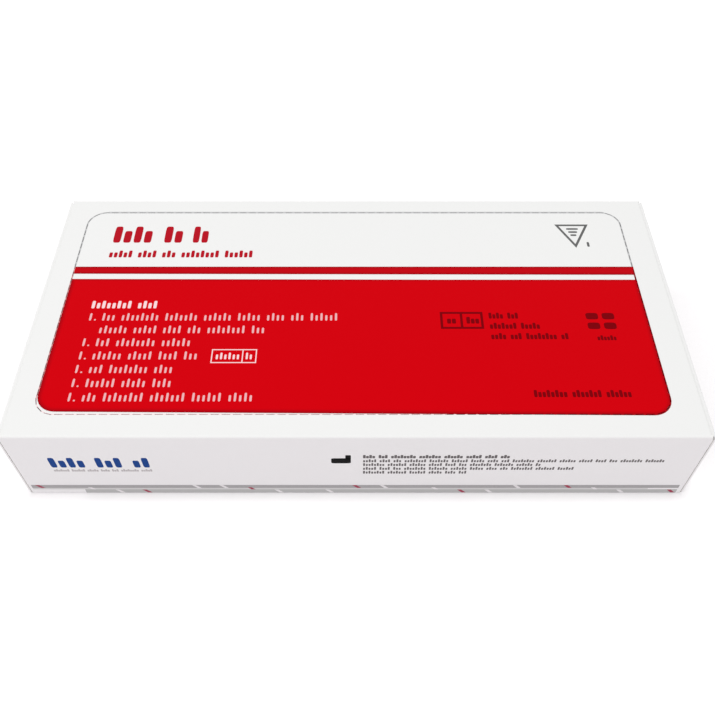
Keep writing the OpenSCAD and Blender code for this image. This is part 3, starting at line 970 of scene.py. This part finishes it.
class CARTON_OT_plastics(bpy.types.Operator):
    """Give the extraction tube and the two ampoules their plastics and liquids"""

    bl_idname = "carton.plastics"
    bl_label = "Tube and ampoules"

    def execute(self, context):
        contents = context.scene.carton_contents
        shaded = shade(contents.plastic, 0.95)
        tube = Finish("tube plastic", Transmission_Weight=0.35, IOR=1.49)
        vector, _ = tube.place()
        cloud = tube.grain(vector, 3 * MM, 2.0)
        tube.set("Base Color", tube.tint(cloud, shaded, contents.plastic))
        tube.set("Roughness", cloud * 0.1 + 0.28)
        dress("extraction_tube", tube.material)
        # Length of an ampoule's bulb, and how far up the liquid stands in it
        bulb, fill = 28 * MM, 0.62
        for name, liquid in (
            ("buffer_ampoule_a", contents.first_liquid), ("buffer_ampoule_b", contents.second_liquid)
        ):
            low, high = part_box(name)
            finish = Finish(name + " plastic", Subsurface_Weight=0.1, IOR=1.5)
            vector, (x, y, z) = finish.place()
            cloud = finish.grain(vector, 2 * MM, 2.0)
            filled = (x < low.x + bulb) * (z < low.z + (high.z - low.z) * fill)
            clear = finish.tint(cloud, shaded, contents.plastic)
            finish.set("Base Color", finish.tint(filled, clear, liquid))
            finish.set("Roughness", cloud * 0.1 + 0.36)
            dress(name, finish.material)
        return {"FINISHED"}


class CARTON_OT_studio(bpy.types.Operator):
    """Set up the floor, the light and the camera"""

    bl_idname = "carton.studio"
    bl_label = "Studio"

    def execute(self, context):
        studio = context.scene.carton_studio
        scene = context.scene
        scene.view_settings.view_transform = "Standard"
        self.sky(scene, studio)
        self.floor(scene, studio)
        self.lamp(scene, studio)
        self.camera(scene, studio)
        return {"FINISHED"}

    def sky(self, scene, studio):
        """Even light all round, and plain white where a camera, a mirror or glass shows the backdrop."""
        scene.world = bpy.data.worlds.new("studio sky")
        world = Nodes(scene.world)
        white = (1.0, 1.0, 1.0)
        light = world.node("ShaderNodeBackground", {}, {"Color": white, "Strength": studio.sky})
        seen = world.node("ShaderNodeBackground", {}, {"Color": white, "Strength": 1.0})
        mix = world.node("ShaderNodeMixShader", {}, {0: world.backdrop_rays(), 1: light, 2: seen})
        world.node("ShaderNodeOutputWorld", {}, {"Surface": mix})

    def floor(self, scene, studio):
        """A wide floor that shows white to the camera, less the shadow that the carton casts on it; painted
        light keeps that shadow narrow.
        """
        mesh = bpy.data.meshes.new("floor")
        corners = rectangle(-FLOOR_HALF, -FLOOR_HALF, FLOOR_HALF, FLOOR_HALF)
        mesh.from_pydata([(x, y, 0.0) for x, y in corners], [], [[0, 1, 2, 3]])
        floor = bpy.data.objects.new("floor", mesh)
        scene.collection.objects.link(floor)
        material = bpy.data.materials.new("floor")
        mesh.materials.append(material)
        self.paint(material, studio)

    def paint(self, material, studio):
        """The floor's white. Backdrop rays see it brighter in three shares: one everywhere, one that comes
        in over a few millimetres outside the carton, halved beside its ends, and one far from it. The second
        share is painted light, which whitens the carton's shadow beyond those few millimetres."""
        clear_ramp, end_ramp, end_share = 4.5 * MM, 30 * MM, 0.5
        far_start, far_slope, far_lift = 0.13, 3.0, 0.2
        paint = Nodes(material)
        vector, (x, y, z) = paint.place()
        # Painted light: a glow that rises over a few millimetres outside the carton and whitens its shadow
        near = (rounded_box(x, y, END_X, SIDE_Y, 1 * MM) / clear_ramp).clamped()
        share = ((abs(y) - SIDE_Y) / end_ramp + 1).greatest(end_share).least(1)
        reach = paint.node("ShaderNodeVectorMath", {"operation": "LENGTH"}, {0: vector}, "Value")
        far = ((reach - far_start) * far_slope).clamped()
        seen = paint.backdrop_rays()
        color = paint.tint(seen, studio.floor_bounce, studio.floor)
        matte = paint.node("ShaderNodeBsdfDiffuse", {}, {"Color": color})
        lift = seen * (far * far_lift + near * share * studio.floor_painted_glow + studio.floor_lift)
        black, white = (0.0, 0.0, 0.0), (1.0, 1.0, 1.0)
        glow = paint.node("ShaderNodeEmission", {}, {"Color": paint.tint(lift, black, white)})
        both = paint.node("ShaderNodeAddShader", {}, {0: matte, 1: glow})
        paint.node("ShaderNodeOutputMaterial", {}, {"Surface": both})

    def lamp(self, scene, studio):
        """One large square lamp overhead, a little to the left and in front of the carton."""
        lamp = bpy.data.lights.new("overhead", "AREA")
        lamp.shape = "SQUARE"
        lamp.size = LAMP_SIDE
        lamp.energy = studio.lamp
        holder = bpy.data.objects.new("overhead", lamp)
        holder.location = LAMP_PLACE
        holder.rotation_euler = (-holder.location).to_track_quat("-Z", "Y").to_euler()
        scene.collection.objects.link(holder)

    def camera(self, scene, studio):
        """Camera above the front wall, looking down along +Y."""
        data = bpy.data.cameras.new("camera")
        data.sensor_width = SENSOR_WIDTH
        data.lens = studio.camera_lens
        data.clip_start = 0.01
        camera = bpy.data.objects.new("camera", data)
        camera.location = CAMERA_PLACE
        camera.rotation_euler = Euler((math.pi / 2 - studio.camera_pitch, 0.0, 0.0))
        scene.collection.objects.link(camera)
        scene.camera = camera


OPERATORS = (
    CARTON_OT_studio,
    CARTON_OT_board,
    CARTON_OT_field,
    CARTON_OT_title,
    CARTON_OT_rows,
    CARTON_OT_overprint,
    CARTON_OT_front,
    CARTON_OT_foot,
    CARTON_OT_leaflet,
    CARTON_OT_pouches,
    CARTON_OT_plastics,
)


class CARTON_PT_panel(bpy.types.Panel):
    """Lists the steps that dress the carton"""

    bl_idname = "CARTON_PT_panel"
    bl_label = "Test kit carton"
    bl_space_type = "VIEW_3D"
    bl_region_type = "UI"
    bl_category = "Carton"

    def draw(self, context):
        for operator in OPERATORS:
            self.layout.operator(operator.bl_idname)


CLASSES = (*SETTINGS.values(), *OPERATORS, CARTON_PT_panel)


def register():
    for kind in CLASSES:
        bpy.utils.register_class(kind)
    for name, kind in SETTINGS.items():
        setattr(bpy.types.Scene, name, bpy.props.PointerProperty(type=kind))


def unregister():
    for name in SETTINGS:
        delattr(bpy.types.Scene, name)
    for kind in reversed(CLASSES):
        bpy.utils.unregister_class(kind)


def main():
    register()
    for operator in OPERATORS:
        group, name = operator.bl_idname.split(".")
        getattr(getattr(bpy.ops, group), name)()


if __name__ == "__main__":
    main()
